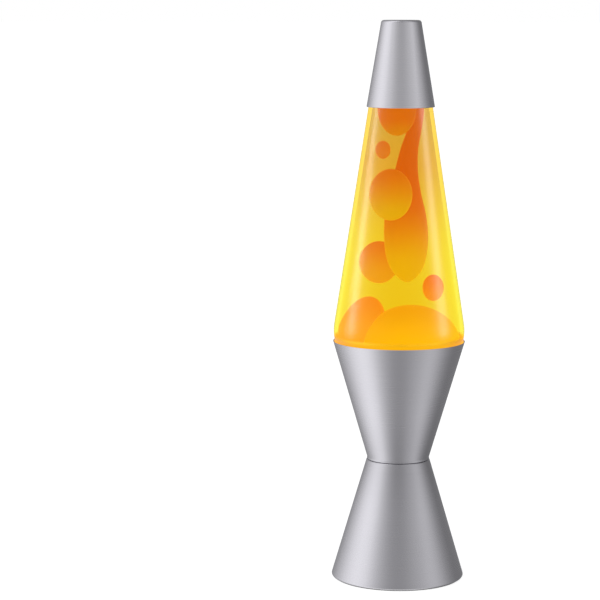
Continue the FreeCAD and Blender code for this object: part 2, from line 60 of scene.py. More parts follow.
def reach_of(node):
    """(centre, half size) of a CAD node, as arrays in metres."""
    low, high = (np.array(corner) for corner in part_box(node))
    return (low + high) / 2, (high - low) / 2


def heights(node):
    """(lowest z, highest z) of a CAD node, in metres."""
    low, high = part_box(node)
    return low.z, high.z


LOWER_Z, SHELF_Z = heights("base_lower_cone")
BOWL_Z, RIM_Z = heights("base_bowl")
CAP_Z, TOP_Z = heights("top_cap")
FLOOR_Z, MOUTH_Z = heights("globe_glass")
CLOSURE_Z = heights("globe_closure")[0]
RIM_R = reach_of("base_bowl")[1][0]
CAP_R = reach_of("top_cap")[1][0]
FOOT_R = reach_of("base_lower_cone")[1][0]

# Sheet metal: its thickness, its broken edges, and the seam between the two cones under the waist
WALL = 0.8 * MM
EDGE_BREAK = 0.2 * MM
SHARP_COSINE = -0.5
SEAM = 0.3 * MM
LIP_DROP, LIP_ROUND = 1.2 * MM, 0.9 * MM
WAIST_Z, WAIST_R, WAIST_ROUND = 80.9 * MM, 20.43 * MM, 1.5 * MM
CAP_TOP_R, CAP_ROUND = 12.95 * MM, 2.0 * MM
NECK_R, NECK_DROP, NECK_ROUND = 19.5 * MM, 0.2 * MM, 0.1 * MM
SHELF_HOLE_R, SHELF_ROUND = 13.6 * MM, 1.0 * MM
FOOT_CURL, FOOT_ROUND = 2.0 * MM, 1.45 * MM
BOWL_CURL, BOWL_ROUND = 0.9 * MM, 0.5 * MM
CORD_HOLE_R, DRILL_DEPTH, DRILL_SIDES = 5.4 * MM, 10 * MM, 64

# The globe: its wall, taper, shoulder, neck and crown bead, each corner with the fillet that rounds it
GLASS = 2.6 * MM
GLOBE_PLAY = 0.3 * MM
GLOBE_TOP_R, GLOBE_WIDE_R, GLOBE_WIDE_Z = 20.97 * MM, 41.95 * MM, 174.5 * MM
FLOOR_ROUND, BULGE_ROUND = 7.0 * MM, 31.0 * MM
SHOULDER_Z, SHOULDER_ROUND = 333.0 * MM, 6.0 * MM
NECK_Z, NECK_OUT, NECK_CURVE, NECK_RISE = 341.0 * MM, 11.6 * MM, 4.0 * MM, 6.0 * MM
BEAD_R, BEAD_LOW, BEAD_HIGH, BEAD_ROUND = 13.0 * MM, 0.6 * MM, 3.4 * MM, 0.8 * MM
GLASS_STEPS, GLASS_SEGMENTS, LIQUID_SEGMENTS = 14, 224, 160

# Liquid and wax: the room that each leaves inside the glass, and the level of the melted wax
LIQUID_HAIR, WAX_GAP = 0.05 * MM, 0.15 * MM
WAX_LEVEL = 157.0 * MM

# The angle in degrees past which an edge is drawn sharp
METAL_SHARP, WAX_SHARP, SMALL_SHARP = 35.0, 80.0, 30.0

# Lengths below which a point is on the axis, and two points are one
ON_AXIS, SAME_POINT = 1e-9, 1e-6

LOWER_SLOPE = (FOOT_R - WAIST_R) / (WAIST_Z - LOWER_Z)
BOWL_SLOPE = (RIM_R - WAIST_R) / (RIM_Z - WAIST_Z)
GLOBE_SLOPE = (GLOBE_WIDE_R - GLOBE_TOP_R) / (CAP_Z - GLOBE_WIDE_Z)


def globe_r(z):
    """The globe's outer radius at a height on its straight taper."""
    return GLOBE_TOP_R + GLOBE_SLOPE * (CAP_Z - z)


# ---------------------------------------------------------------- outlines and turned surfaces

def rounded(corners, steps=10):
    """Points along a line of (radius, z, fillet) corners.

    Each fillet is a tangent arc: its centre lies on the corner's bisector at fillet / sin(half the
    corner), and the arc is swept in equal steps of angle between the two tangent points.
    """
    points = [corners[0][:2]]
    for before, corner, after in zip(corners, corners[1:], corners[2:]):
        here = np.array(corner[:2])
        if corner[2] <= 0:
            points.append(tuple(here))
            continue
        back = np.array(before[:2]) - here
        ahead = np.array(after[:2]) - here
        back /= np.linalg.norm(back)
        ahead /= np.linalg.norm(ahead)
        half = math.acos(np.clip(back @ ahead, -1, 1)) / 2
        middle = (back + ahead) / np.linalg.norm(back + ahead)
        centre = here + middle * corner[2] / math.sin(half)
        start = here + back * corner[2] / math.tan(half) - centre
        end = here + ahead * corner[2] / math.tan(half) - centre
        sweep = math.pi - 2 * half
        share = np.linspace(0, 1, steps + 1)[:, None]
        arc = (np.sin((1 - share) * sweep) * start + np.sin(share * sweep) * end) / math.sin(sweep)
        points.extend(map(tuple, centre + arc))
    points.append(corners[-1][:2])
    return np.array(points)


def beside(line, distance):
    """A line of corners moved to the left of the way it runs, its fillets kept concentric."""
    points = np.array([c[:2] for c in line])
    along = np.diff(points, axis=0)
    along /= np.linalg.norm(along, axis=1)[:, None]
    normal = np.stack([-along[:, 1], along[:, 0]], axis=1)
    first, last = np.vstack([normal[:1], normal]), np.vstack([normal, normal[-1:]])
    turn = first[:, 0] * last[:, 1] - first[:, 1] * last[:, 0]
    share = distance / (1 + (first * last).sum(axis=1))
    moved = points + (first + last) * share[:, None]
    fillets = np.array([c[2] for c in line])
    fillets = np.where(fillets > 0, np.maximum(fillets - np.sign(turn) * distance, 0), 0)
    return [(r, z, f) for (r, z), f in zip(moved, fillets)]


def spaced(profile, step):
    """The profile with points added so that none are further apart than a step."""
    parts = []
    for start, end in zip(profile, profile[1:]):
        count = max(int(np.ceil(np.linalg.norm(end - start) / step)), 1)
        parts.append(start + (end - start) * np.linspace(0, 1, count + 1)[:-1, None])
    return np.vstack(parts + [profile[-1:]])


def mesh_object(name, verts, faces, sharp=METAL_SHARP):
    """An object from points and faces, smooth except across edges sharper than an angle."""
    mesh = bpy.data.meshes.new(name)
    mesh.from_pydata(verts.tolist(), [], faces)
    mesh.validate()
    mesh.shade_smooth()
    mesh.set_sharp_from_angle(angle=math.radians(sharp))
    mesh.update()
    obj = bpy.data.objects.new(name, mesh)
    bpy.context.scene.collection.objects.link(obj)
    return obj


def grid_faces(rows, columns):
    """Quads of a grid whose columns close on themselves, for points stored row by row."""
    row, column = np.meshgrid(np.arange(rows - 1), np.arange(columns), indexing="ij")
    here = row * columns + column
    beyond = row * columns + (column + 1) % columns
    quads = np.stack([here, beyond, beyond + columns, here + columns], axis=-1)
    return quads.reshape(-1, 4).tolist()


def fan(centre, ring, columns, up):
    """Triangles from one point to a closed ring of points."""
    step = np.arange(columns)
    here, beyond = ring + step, ring + (step + 1) % columns
    pole = np.full(columns, centre)
    order = [here, beyond, pole] if up else [beyond, here, pole]
    return np.stack(order, axis=1).tolist()


def turned(name, profile, segments=192):
    """A surface of revolution: each profile point (r, z) goes round as (r cos a, r sin a, z).

    The profile runs up the outside and down the inside. Where it starts or ends on the axis it gets
    one point there and a fan; where it does neither, its last ring joins its first.
    """
    profile = np.asarray(profile)
    poles = [profile[0][0] < ON_AXIS, profile[-1][0] < ON_AXIS]
    rings = profile[1 if poles[0] else 0:len(profile) - (1 if poles[1] else 0)]
    angle = np.linspace(0, 2 * math.pi, segments, endpoint=False)
    x = rings[:, :1] * np.cos(angle)
    y = rings[:, :1] * np.sin(angle)
    z = np.repeat(rings[:, 1:2], segments, axis=1)
    verts = np.stack([x, y, z], axis=-1).reshape(-1, 3)
    faces = grid_faces(len(rings), segments)
    if poles[0]:
        verts = np.vstack([verts, [0, 0, profile[0][1]]])
        faces += fan(len(verts) - 1, 0, segments, up=False)
    if poles[1]:
        verts = np.vstack([verts, [0, 0, profile[-1][1]]])
        faces += fan(len(verts) - 1, (len(rings) - 1) * segments, segments, up=True)
    if not any(poles):
        step = np.arange(segments)
        last = (len(rings) - 1) * segments
        beyond = (step + 1) % segments
        faces += np.stack([last + step, last + beyond, beyond, step], axis=1).tolist()
    return mesh_object(name, verts, faces)


def eased(outline, size):
    """A closed outline whose sharp corners off the axis are cut back by a size along both sides.

    A corner is sharp when the cosine of the angle between its sides is above SHARP_COSINE.
    """
    points = []
    previous, following = np.roll(outline, 1, axis=0), np.roll(outline, -1, axis=0)
    for before, here, after in zip(previous, outline, following):
        back = (before - here) / np.linalg.norm(before - here)
        ahead = (after - here) / np.linalg.norm(after - here)
        sharp = back @ ahead > SHARP_COSINE and here[0] > size
        points.extend([here + back * size, here + ahead * size] if sharp else [here])
    return np.array(points)


def sheet_profile(line, thickness, low, high, steps=8, step=2 * MM):
    """The closed outline of a sheet whose outer face follows a line.

    The inner face runs beside the line at the thickness; the ends are cut level at the low and the
    high height, and their edges are broken.
    """
    outer = spaced(rounded(line, steps), step)
    inner = spaced(rounded(beside(line, thickness), steps)[::-1], step)
    outline = np.vstack([outer, inner])
    outline[:, 1] = np.clip(outline[:, 1], low, high)
    return eased(outline, EDGE_BREAK)


# ---------------------------------------------------------------- shader maths

class Value:
    """A shader socket that Python's arithmetic extends with Math nodes."""

    def __init__(self, shader, socket):
        self.shader = shader
        self.socket = socket

    def _math(self, operation, *others):
        values = dict(enumerate([self, *others]))
        return self.shader.node("ShaderNodeMath", {"operation": operation}, values)["Value"]

    def __add__(self, other):
        return self._math("ADD", other)

    def __mul__(self, other):
        return self._math("MULTIPLY", other)

    def __sub__(self, other):
        return self._math("SUBTRACT", other)

    def __rsub__(self, other):
        return Value(self.shader, other)._math("SUBTRACT", self)

    def __truediv__(self, other):
        return self._math("DIVIDE", other)

    def __neg__(self):
        return self * -1.0

    __radd__ = __add__
    __rmul__ = __mul__

    def clamp(self):
        """The value held between 0 and 1."""
        return self._math("MINIMUM", 1.0)._math("MAXIMUM", 0.0)

    def maximum(self, other):
        return self._math("MAXIMUM", other)

    def absolute(self):
        return self._math("ABSOLUTE")

    def swing(self, size):
        """How far a value between 0 and 1 lies from its middle, times a size."""
        return (self - 0.5) * size

    def angle_to(self, other):
        """The angle whose tangent is this value over the other."""
        return self._math("ARCTAN2", other)

    def smooth(self, low, high):
        """0 below low, 1 above high, and an S-curve between."""
        settings = {"interpolation_type": "SMOOTHSTEP"}
        return self.shader.node("ShaderNodeMapRange", settings,
                                {"Value": self, "From Min": low, "From Max": high})["Result"]


class Outputs:
    """A node's outputs, by name or number."""

    def __init__(self, shader, node):
        self.shader = shader
        self.node = node

    def __getitem__(self, key):
        return Value(self.shader, self.node.outputs[key])


class Shader:
    """A node tree that is built by calls: one method makes any node."""

    def __init__(self, tree):
        self.tree = tree

    def node(self, kind, settings=None, inputs=None):
        """Adds a node: its settings, then the value or link of each named or numbered socket."""
        node = self.tree.nodes.new(kind)
        for key, value in (settings or {}).items():
            if key == "stops":
                self._stops(node.color_ramp, value)
            else:
                setattr(node, key, value)
        for key, value in (inputs or {}).items():
            socket = node.inputs[key]
            plain = value.socket if isinstance(value, Value) else value
            if isinstance(plain, bpy.types.NodeSocket):
                self.tree.links.new(plain, socket)
            else:
                socket.default_value = plain
        return Outputs(self, node)

    @staticmethod
    def _stops(ramp, stops):
        """Sets a colour ramp's stops: (place from 0 to 1, colour) each."""
        while len(ramp.elements) < len(stops):
            ramp.elements.new(1.0)
        for element, (place, colour) in zip(ramp.elements, stops):
            element.position = place
            element.color = (*colour, 1.0)

    def mix(self, factor, first, second):
        """A colour between two colours."""
        inputs = {"Factor": factor, 6: first, 7: second}
        return self.node("ShaderNodeMix", {"data_type": "RGBA"}, inputs)[2]

    def place(self):
        """Object coordinates and their X, Y and Z."""
        vector = self.node("ShaderNodeTexCoord")["Object"]
        parts = self.node("ShaderNodeSeparateXYZ", None, {0: vector})
        return vector, parts["X"], parts["Y"], parts["Z"]

    def stretched(self, x, y, z):
        """Object coordinates scaled along each axis."""
        vector = self.node("ShaderNodeTexCoord")["Object"]
        inputs = {"Vector": vector, "Scale": (x, y, z)}
        return self.node("ShaderNodeMapping", {"vector_type": "POINT"}, inputs)["Vector"]

    def noise(self, vector, scale, detail=2.0, roughness=0.5):
        """Soft noise between 0 and 1 along a vector."""
        inputs = {"Vector": vector, "Scale": scale, "Detail": detail, "Roughness": roughness}
        return self.node("ShaderNodeTexNoise", None, inputs)["Fac"]

    def grain(self, scale, detail=2.0, roughness=0.5):
        """Noise that is as fine along every axis."""
        return self.noise(self.stretched(1, 1, 1), scale, detail, roughness)

    def streaks(self, x, y, z, detail=2.0, roughness=0.5):
        """Noise that is as fine along each axis as that axis's own scale."""
        return self.noise(self.stretched(x, y, z), 1.0, detail, roughness)

    def bump(self, height, distance):
        """A normal tilted by a height between 0 and 1 over a distance."""
        inputs = {"Height": height, "Distance": distance, "Strength": 1.0}
        return self.node("ShaderNodeBump", None, inputs)["Normal"]


def material(name, build):
    """A node material: build(shader) returns the surface shader's settings, and perhaps a volume's."""
    made = bpy.data.materials.new(name)
    made.use_nodes = True
    made.node_tree.nodes.clear()
    shader = Shader(made.node_tree)
    surface = build(shader)
    volume = surface.pop("volume", None)
    out = shader.node("ShaderNodeOutputMaterial")
    bsdf = shader.node("ShaderNodeBsdfPrincipled", None, surface)
    made.node_tree.links.new(bsdf.node.outputs[0], out.node.inputs["Surface"])
    if volume:
        absorb = shader.node("ShaderNodeVolumeAbsorption", None, volume)
        made.node_tree.links.new(absorb.node.outputs[0], out.node.inputs["Volume"])
    return made


def grey(level, blue=0.0):
    """A neutral colour, or one that leans a little to blue."""
    return (level, level, level + blue, 1.0)


# ---------------------------------------------------------------- metals

# How far from the waist the painted shade reaches, and how much of its tone the sheet keeps in that
# painted shade at the waist
WAIST_SHADE_REACH, WAIST_SHADED_TONE = 0.038, 0.88
ALUMINIUM_DARK, ALUMINIUM_LIGHT = grey(0.10), (1.0, 0.985, 1.035, 1.0)


def spun_aluminium(shader):
    """Satin sheet turned on a lathe: very fine rings and grain, with painted shade that darkens it
    towards the waist.
    """
    fine = shader.streaks(14, 14, 2600, detail=3.0, roughness=0.6)
    coarse = shader.streaks(9, 9, 420)
    grain = shader.grain(1500.0)
    cloud = shader.streaks(30, 30, 18)
    _, _, _, z = shader.place()
    # Painted shade: the sheet's tone darkens towards the waist, where the two cones shade each other
    clear = (z - WAIST_Z).absolute().smooth(0.0, WAIST_SHADE_REACH)
    tone = 0.80 + fine.swing(0.05) + coarse.swing(0.02) + grain.swing(0.04)
    tone = (tone * (WAIST_SHADED_TONE + clear * (1 - WAIST_SHADED_TONE))).clamp()
    rings = fine * 0.7 + coarse * 0.3
    return {"Base Color": shader.mix(tone, ALUMINIUM_DARK, ALUMINIUM_LIGHT), "Metallic": 1.0,
            "Roughness": 0.26 + fine.swing(0.08) + cloud.swing(0.05),
            "Normal": shader.bump(rings, 0.006 * MM)}


def plated_steel(shader):
    """Zinc-plated steel: a faint crystalline cloud and small scratches."""
    cloud = shader.grain(420.0, detail=4.0, roughness=0.6)
    scratch = shader.noise(shader.stretched(1, 8, 8), 900.0)
    return {"Base Color": shader.mix(cloud, grey(0.42), (0.60, 0.61, 0.60, 1.0)), "Metallic": 1.0,
            "Roughness": 0.30 + cloud.swing(0.2) + scratch.swing(0.1),
            "Normal": shader.bump(scratch, 0.01 * MM)}


def brass(shader):
    """Rolled brass, slightly dulled in patches."""
    patch = shader.grain(260.0, detail=3.0)
    colour = shader.mix(patch.smooth(0.35, 0.7), (0.80, 0.56, 0.23, 1.0), (0.52, 0.34, 0.14, 1.0))
    return {"Base Color": colour, "Metallic": 1.0, "Roughness": 0.24 + patch.swing(0.22)}


def tinplate(shader):
    """Lacquered gold tinplate with a faint orange-peel."""
    peel = shader.grain(900.0)
    return {"Base Color": shader.mix(peel, (0.60, 0.44, 0.16, 1.0), (0.76, 0.58, 0.25, 1.0)),
            "Metallic": 1.0, "Roughness": 0.22 + peel.swing(0.1),
            "Coat Weight": 0.4, "Normal": shader.bump(peel, 0.01 * MM)}


def solder(shader):
    """Dull tin solder, finely grained."""
    grain = shader.grain(1500.0, detail=3.0)
    return {"Base Color": shader.mix(grain, grey(0.32), grey(0.55)), "Metallic": 1.0,
            "Roughness": 0.38 + grain.swing(0.2)}


def tungsten(shader):
    """Dark drawn wire."""
    drawn = shader.grain(3000.0)
    return {"Base Color": shader.mix(drawn, grey(0.10), grey(0.26)), "Metallic": 1.0,
            "Roughness": 0.35 + drawn.swing(0.2)}


# ---------------------------------------------------------------- plastics and rubber

def moulded(shade, grain_scale, rough):
    """A moulded plastic: a fine spark-eroded grain over one dark shade."""
    def build(shader):
        grain = shader.grain(grain_scale, detail=3.0, roughness=0.6)
        wear = shader.grain(90.0)
        colour = shader.mix(wear, grey(shade * 0.8), grey(shade * 1.3, shade * 0.05))
        return {"Base Color": colour, "Roughness": rough + grain.swing(0.2) + wear.swing(0.08),
                "Normal": shader.bump(grain, 0.03 * MM)}
    return build


def soft_liner(shader):
    """The off-white foam liner of the closure."""
    grain = shader.grain(700.0)
    return {"Base Color": shader.mix(grain, (0.72, 0.71, 0.66, 1.0), (0.86, 0.85, 0.80, 1.0)),
            "Roughness": 0.5 + grain.swing(0.2)}


def insulator_glass(shader):
    """The black glass that insulates the bulb's contact."""
    swirl = shader.grain(500.0)
    return {"Base Color": shader.mix(swirl, grey(0.004), grey(0.02)),
            "Roughness": 0.08 + swirl * 0.08}


# ---------------------------------------------------------------- glass, liquid and wax

# Light passes unbent through the globe's faces and the liquid
CLEAR = {"Transmission Weight": 1.0, "IOR": 1.0}

# The warm glow that the thick wall carries round to its edges, from the floor to above the liquid
GLASS_HEIGHTS = (0.150, 0.340)
GLASS_STOPS = [(0.0, (0.99, 0.90, 0.075)), (0.35, (0.98, 0.87, 0.08)), (0.65, (1.0, 0.72, 0.09)),
               (0.91, (1.0, 0.68, 0.10)), (0.96, (0.84, 0.88, 0.85)), (1.0, (0.80, 0.85, 0.83))]

# A painted glow on the foot of the glass, in the colour of the wax, standing in for the bulb's light
# there: the heights between which it fades, how far to the side one colour turns to the other, and the
# colours at the middle and the sides
FOOT_GLOW_HEIGHTS = (0.1598, 0.1632)
FOOT_GLOW_SIDES = (0.026, 0.040)
FOOT_GLOW = ((1.0, 0.47, 0.0, 1.0), (0.97, 0.40, 0.02, 1.0))

# The painted shade on the outline of the glass, where it is seen almost edge-on
GLASS_EDGE_ON = (0.75, 0.96)
GLASS_OUTLINE_SHADE = (0.55, 0.45, 0.12, 1.0)

# The liquid's tint by height: paler and yellower low down, a painted light from the bulb below, and
# darker and redder higher up
LIQUID_HEIGHTS = (0.200, 0.300)
LIQUID_LIT_STOPS = [(0.0, (1.0, 0.98, 0.8)), (0.3, (0.96, 0.93, 0.85)), (0.75, (0.80, 0.68, 0.95)),
                (1.0, (0.72, 0.66, 0.95))]
LIQUID_ABSORBS = (0.9133, 0.7733, 0.0, 1.0)
LIQUID_DENSITY = 30.0

# How far the wax's base colour is darkened, since most of its light is a painted glow, and how far the
# height at which its colour turns wavers
WAX_SURFACE_DARK = 0.8
WAX_WAVER = 0.004


def by_height(shader, low, high, stops):
    """A colour that changes with height: stops from 0 at the low height to 1 at the high one."""
    _, _, _, z = shader.place()
    share = (z - low) / (high - low)
    return shader.node("ShaderNodeValToRGB", {"stops": stops}, {0: share})["Color"]


def globe_outside(shader):
    """The glass's polished outer face: it lets light through unbent, under a glossy skin.

    Its foot has a painted glow in the colour of the wax, out to its edge, and its outline has painted
    shade.
    """
    wave = shader.streaks(30, 30, 8, detail=1.0)
    _, x, _, z = shader.place()
    # The foot of the glass is painted black with an emitting band in the wax's colour: a painted glow
    foot = 1 - z.smooth(*FOOT_GLOW_HEIGHTS)
    # The tint darkens where the glass is seen edge-on: painted shade on its outline
    facing = shader.node("ShaderNodeLayerWeight", None, {"Blend": 0.5})["Facing"]
    edge = facing.smooth(*GLASS_EDGE_ON)
    tint = by_height(shader, *GLASS_HEIGHTS, GLASS_STOPS)
    tint = shader.mix(edge, tint, shader.mix(0.5, tint, GLASS_OUTLINE_SHADE))
    glow = shader.mix(x.absolute().smooth(*FOOT_GLOW_SIDES), *FOOT_GLOW)
    return {**CLEAR, "Base Color": shader.mix(foot, tint, grey(0.0)), "Roughness": 0.0,
            "Metallic": foot,
            "Emission Color": shader.mix(foot, grey(0.0), glow), "Emission Strength": 1.0,
            "Coat Weight": 0.4, "Coat Roughness": 0.30, "Coat IOR": 1.5,
            "Normal": shader.bump(wave, 0.02 * MM)}


def globe_inside(shader):
    """The glass's inner face, wetted by the liquid, so that it has no gloss of its own."""
    streak = shader.streaks(40, 40, 6, detail=1.0)
    colour = shader.mix(streak, (0.99, 0.985, 0.96, 1.0), (1.0, 1.0, 0.98, 1.0))
    return {**CLEAR, "Base Color": colour, "Roughness": 0.0}


def bulb_glass(shader):
    """The bulb's clear envelope, with a trace of haze."""
    haze = shader.grain(120.0)
    return {"Base Color": grey(0.98), "Transmission Weight": 1.0, "IOR": 1.45,
            "Roughness": haze * 0.04}


def lamp_liquid(shader):
    """Clear coloured liquid: yellow that deepens with the way through it, with painted light from the
    bulb that makes it paler low down and redder towards the top.
    """
    colour = by_height(shader, *LIQUID_HEIGHTS, LIQUID_LIT_STOPS)
    return {**CLEAR, "Base Color": colour, "Roughness": 0.0,
            "volume": {"Color": LIQUID_ABSORBS, "Density": LIQUID_DENSITY}}


def wax(top, bottom, low, high):
    """Melted wax with a painted glow for the bulb's light from below: one colour at its top, another at
    its foot.
    """
    def build(shader):
        _, _, _, z = shader.place()
        cloud = shader.grain(60.0)
        # The emission is a painted glow, its colour turning with height as if lit by the bulb below
        rise = (z + cloud.swing(WAX_WAVER)).smooth(low, high)
        colour = shader.mix(rise, (*bottom, 1.0), (*top, 1.0))
        return {"Base Color": shader.mix(WAX_SURFACE_DARK, colour, grey(0.0)), "Roughness": 0.45,
                "Emission Color": colour, "Emission Strength": 1.0, "Specular IOR Level": 0.2}
    return build


# ---------------------------------------------------------------- base and cap

def lower_cone_r(z):
    """The lower cone's outer radius at a height."""
    return FOOT_R - LOWER_SLOPE * (z - LOWER_Z)


def lower_cone_line():
    """The foot's cone from its edge on the table up to the waist, the neck and the shelf."""
    top = WAIST_Z - LIP_DROP - SEAM
    return [(FOOT_R - FOOT_CURL, LOWER_Z, 0), (FOOT_R, LOWER_Z, FOOT_ROUND),
            (lower_cone_r(top), top, LIP_ROUND), (NECK_R, top + NECK_DROP, NECK_ROUND),
            (NECK_R, SHELF_Z, SHELF_ROUND), (SHELF_HOLE_R, SHELF_Z, 0)]


def bowl_line():
    """The upper cone from its turned-out lower edge to its rim."""
    radius = lower_cone_r(BOWL_Z)
    return [(radius - BOWL_CURL, BOWL_Z, 0), (radius, BOWL_Z, BOWL_ROUND),
            (WAIST_R, WAIST_Z, WAIST_ROUND), (RIM_R, RIM_Z, 0)]


def cap_line():
    """The cap from its lower edge to the middle of its flat top."""
    return [(CAP_R, CAP_Z, 0), (CAP_TOP_R, TOP_Z, CAP_ROUND), (0, TOP_Z, 0)]


def dress(obj, body, slot, paint, *nodes):
    """Gives a piece its material, body and the CAD nodes that it stands for. The slot is not used."""
    obj.data.materials.clear()
    obj.data.materials.append(paint)
    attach(obj, body)
    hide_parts(*nodes)
    return obj


PAINTS = {
    "spun_aluminium": material("spun_aluminium", spun_aluminium),
    "plated_steel": material("plated_steel", plated_steel),
    "brass": material("brass", brass),
    "closure_tin": material("closure_tin", tinplate),
    "solder": material("solder", solder),
    "tungsten": material("tungsten", tungsten),
    "phenolic_black": material("phenolic_black", moulded(0.022, 1400.0, 0.42)),
    "cover_black": material("cover_black", moulded(0.035, 1100.0, 0.55)),
    "rubber_black": material("rubber_black", moulded(0.018, 700.0, 0.72)),
    "liner": material("liner", soft_liner),
    "insulator_glass": material("insulator_glass", insulator_glass),
    "bulb_glass": material("bulb_glass", bulb_glass),
    "liquid": material("liquid", lamp_liquid),
}


def drill(obj, point, direction, radius):
    """Cuts a round hole through a shell along a direction."""
    bpy.ops.mesh.primitive_cylinder_add(vertices=DRILL_SIDES, radius=radius, depth=DRILL_DEPTH,
                                        location=point)
    cutter = bpy.context.object
    cutter.rotation_euler = direction.to_track_quat("Z", "Y").to_euler()
    cut = obj.modifiers.new("hole", "BOOLEAN")
    cut.operation = "DIFFERENCE"
    cut.solver = "EXACT"
    cut.object = cutter
    bpy.context.view_layer.update()
    evaluated = obj.evaluated_get(bpy.context.evaluated_depsgraph_get())
    solid = bpy.data.meshes.new_from_object(evaluated)
    obj.modifiers.clear()
    obj.data = solid
    bpy.data.objects.remove(cutter)
    obj.data.shade_smooth()
    obj.data.set_sharp_from_angle(angle=math.radians(METAL_SHARP))


CAP_PIECE = "cap_shell"
GLASS_PIECE = "globe_glass_bottle"


def make_base():
    """The two cones of the base and the cap: spun shells of one sheet thickness."""
    metal = PAINTS["spun_aluminium"]
    lower = turned("lower_cone_shell", sheet_profile(lower_cone_line(), WALL, LOWER_Z, SHELF_Z))
    grommet = Vector(reach_of("cord_grommet")[0])
    drill(lower, grommet, Vector((0, 1, LOWER_SLOPE)), CORD_HOLE_R)
    dress(lower, "base", "spun_aluminium", metal, "base_lower_cone")
    bowl = turned("bowl_shell", sheet_profile(bowl_line(), WALL, BOWL_Z, RIM_Z))
    dress(bowl, "base", "spun_aluminium", metal, "base_bowl")
    cap = turned(CAP_PIECE, sheet_profile(cap_line(), WALL, CAP_Z, TOP_Z))
    dress(cap, "cap", "spun_aluminium", metal, "top_cap")


# ---------------------------------------------------------------- globe

def globe_line():
    """The glass's outer face from the floor's centre to the foot of the neck."""
    gap = (WALL + GLOBE_PLAY) * math.hypot(1, BOWL_SLOPE)
    seat = RIM_R - gap - BOWL_SLOPE * (RIM_Z - FLOOR_Z)
    bulge = FLOOR_Z + (globe_r(FLOOR_Z) - seat) / (BOWL_SLOPE + GLOBE_SLOPE)
    return [(0, FLOOR_Z, 0), (seat, FLOOR_Z, FLOOR_ROUND), (globe_r(bulge), bulge, BULGE_ROUND),
            (globe_r(SHOULDER_Z), SHOULDER_Z, SHOULDER_ROUND), (NECK_OUT, NECK_Z, NECK_CURVE),
            (NECK_OUT, NECK_Z + NECK_RISE, 0)]


def finish_line():
    """The glass's outer face round its crown bead, from the top of the neck over to the mouth."""
    low, high = CLOSURE_Z + BEAD_LOW, CLOSURE_Z + BEAD_HIGH
    return [(NECK_OUT, low, 0.5 * MM), (BEAD_R, low, BEAD_ROUND), (BEAD_R, high, BEAD_ROUND),
            (NECK_OUT + 0.7 * MM, high + 0.6 * MM, 0.6 * MM),
            (NECK_OUT + 0.5 * MM, MOUTH_Z, 0.7 * MM), (NECK_OUT - GLASS, MOUTH_Z, 0)]


def cavity_line(depth=GLASS):
    """The outline of what lies a depth inside the glass's outer face, up to the mouth."""
    return beside(globe_line(), depth)[:-1] + [(NECK_OUT - GLASS, MOUTH_Z, 0)]


CAVITY = rounded(cavity_line(), 16)


def cavity_radius(z):
    """The cavity's radius at a height, read along its own outline."""
    return np.interp(z, CAVITY[:, 1], CAVITY[:, 0])


def per_face(mesh, key):
    """One vector for each face of a mesh, as the rows of an array."""
    values = np.empty(len(mesh.polygons) * 3)
    mesh.polygons.foreach_get(key, values)
    return values.reshape(-1, 3)


def make_globe():
    """The bottle: its outer face is polished glass, and its inner face has the wetted paint."""
    outside = rounded(globe_line()[:-1] + finish_line(), GLASS_STEPS)
    inside = rounded(cavity_line(), GLASS_STEPS)[::-1]
    glass = turned(GLASS_PIECE, np.vstack([outside, inside[1:]]), GLASS_SEGMENTS)
    dress(glass, "globe", "globe_glass", material("globe_outside", globe_outside), "globe_glass")
    glass.data.materials.append(material("globe_inside", globe_inside))
    centres = per_face(glass.data, "center")
    wall_middle = cavity_radius(centres[:, 2]) + GLASS / 2
    inner = np.hypot(centres[:, 0], centres[:, 1]) < wall_middle
    inner &= centres[:, 2] > FLOOR_Z + GLASS / 2
    glass.data.polygons.foreach_set("material_index", inner.astype(np.int32))


def make_liquid():
    """The liquid fills the cavity, a hair inside the glass, up to its level in the shoulder."""
    top = heights("lamp_liquid")[1]
    outline = rounded(cavity_line(GLASS + LIQUID_HAIR), GLASS_STEPS)
    outline = outline[outline[:, 1] < top]
    outline = np.vstack([outline, [cavity_radius(top) - LIQUID_HAIR, top], [0, top]])
    liquid = turned("coloured_liquid", outline, LIQUID_SEGMENTS)
    dress(liquid, "globe", "liquid", PAINTS["liquid"], "lamp_liquid")


# ---------------------------------------------------------------- wax

# The tall column's sections in mm, from its foot up: height, centre along X and Y, reach along X and Y
COLUMN = [(196.8, 4.9, 5.0, 1.2, 1.0), (198.4, 4.9, 5.0, 4.3, 3.6), (201.4, 4.9, 5.0, 7.6, 6.1),
          (206.0, 4.7, 5.1, 10.7, 8.2), (213.0, 4.4, 5.5, 13.1, 9.6), (226.0, 4.2, 6.4, 14.5, 10.2),
          (240.5, 3.7, 8.0, 13.6, 9.6), (254.0, 3.3, 9.8, 10.8, 8.4), (268.2, 3.9, 10.5, 7.9, 6.8),
          (283.7, 5.8, 9.4, 5.9, 5.5), (298.9, 9.3, 7.0, 4.8, 4.8), (312.0, 10.3, 5.6, 4.9, 4.6),
          (322.0, 9.6, 4.6, 3.4, 3.2), (326.0, 9.4, 4.4, 1.0, 0.9)]

# The pool's dome and how softly it meets the level; where its side starts and stops along the glass;
# and how often the radius at which its top meets the glass is worked out again
POOL_CENTRE = np.array([8.2, -2.0, 154.2]) * MM
POOL_REACH = np.array([33.1, 30.0, 28.0]) * MM
POOL_SOFT = 2.0 * MM
POOL_WALL_DROP, POOL_WALL_INNER = 1 * MM, 0.5 * MM
POOL_EDGE_ROUNDS = 12

MOUND_CENTRE = np.array([-25.5, 6.0, 161.5]) * MM
MOUND_REACH = np.array([15.3, 17.0, 26.2]) * MM
MOUND_LEAN = 18.7
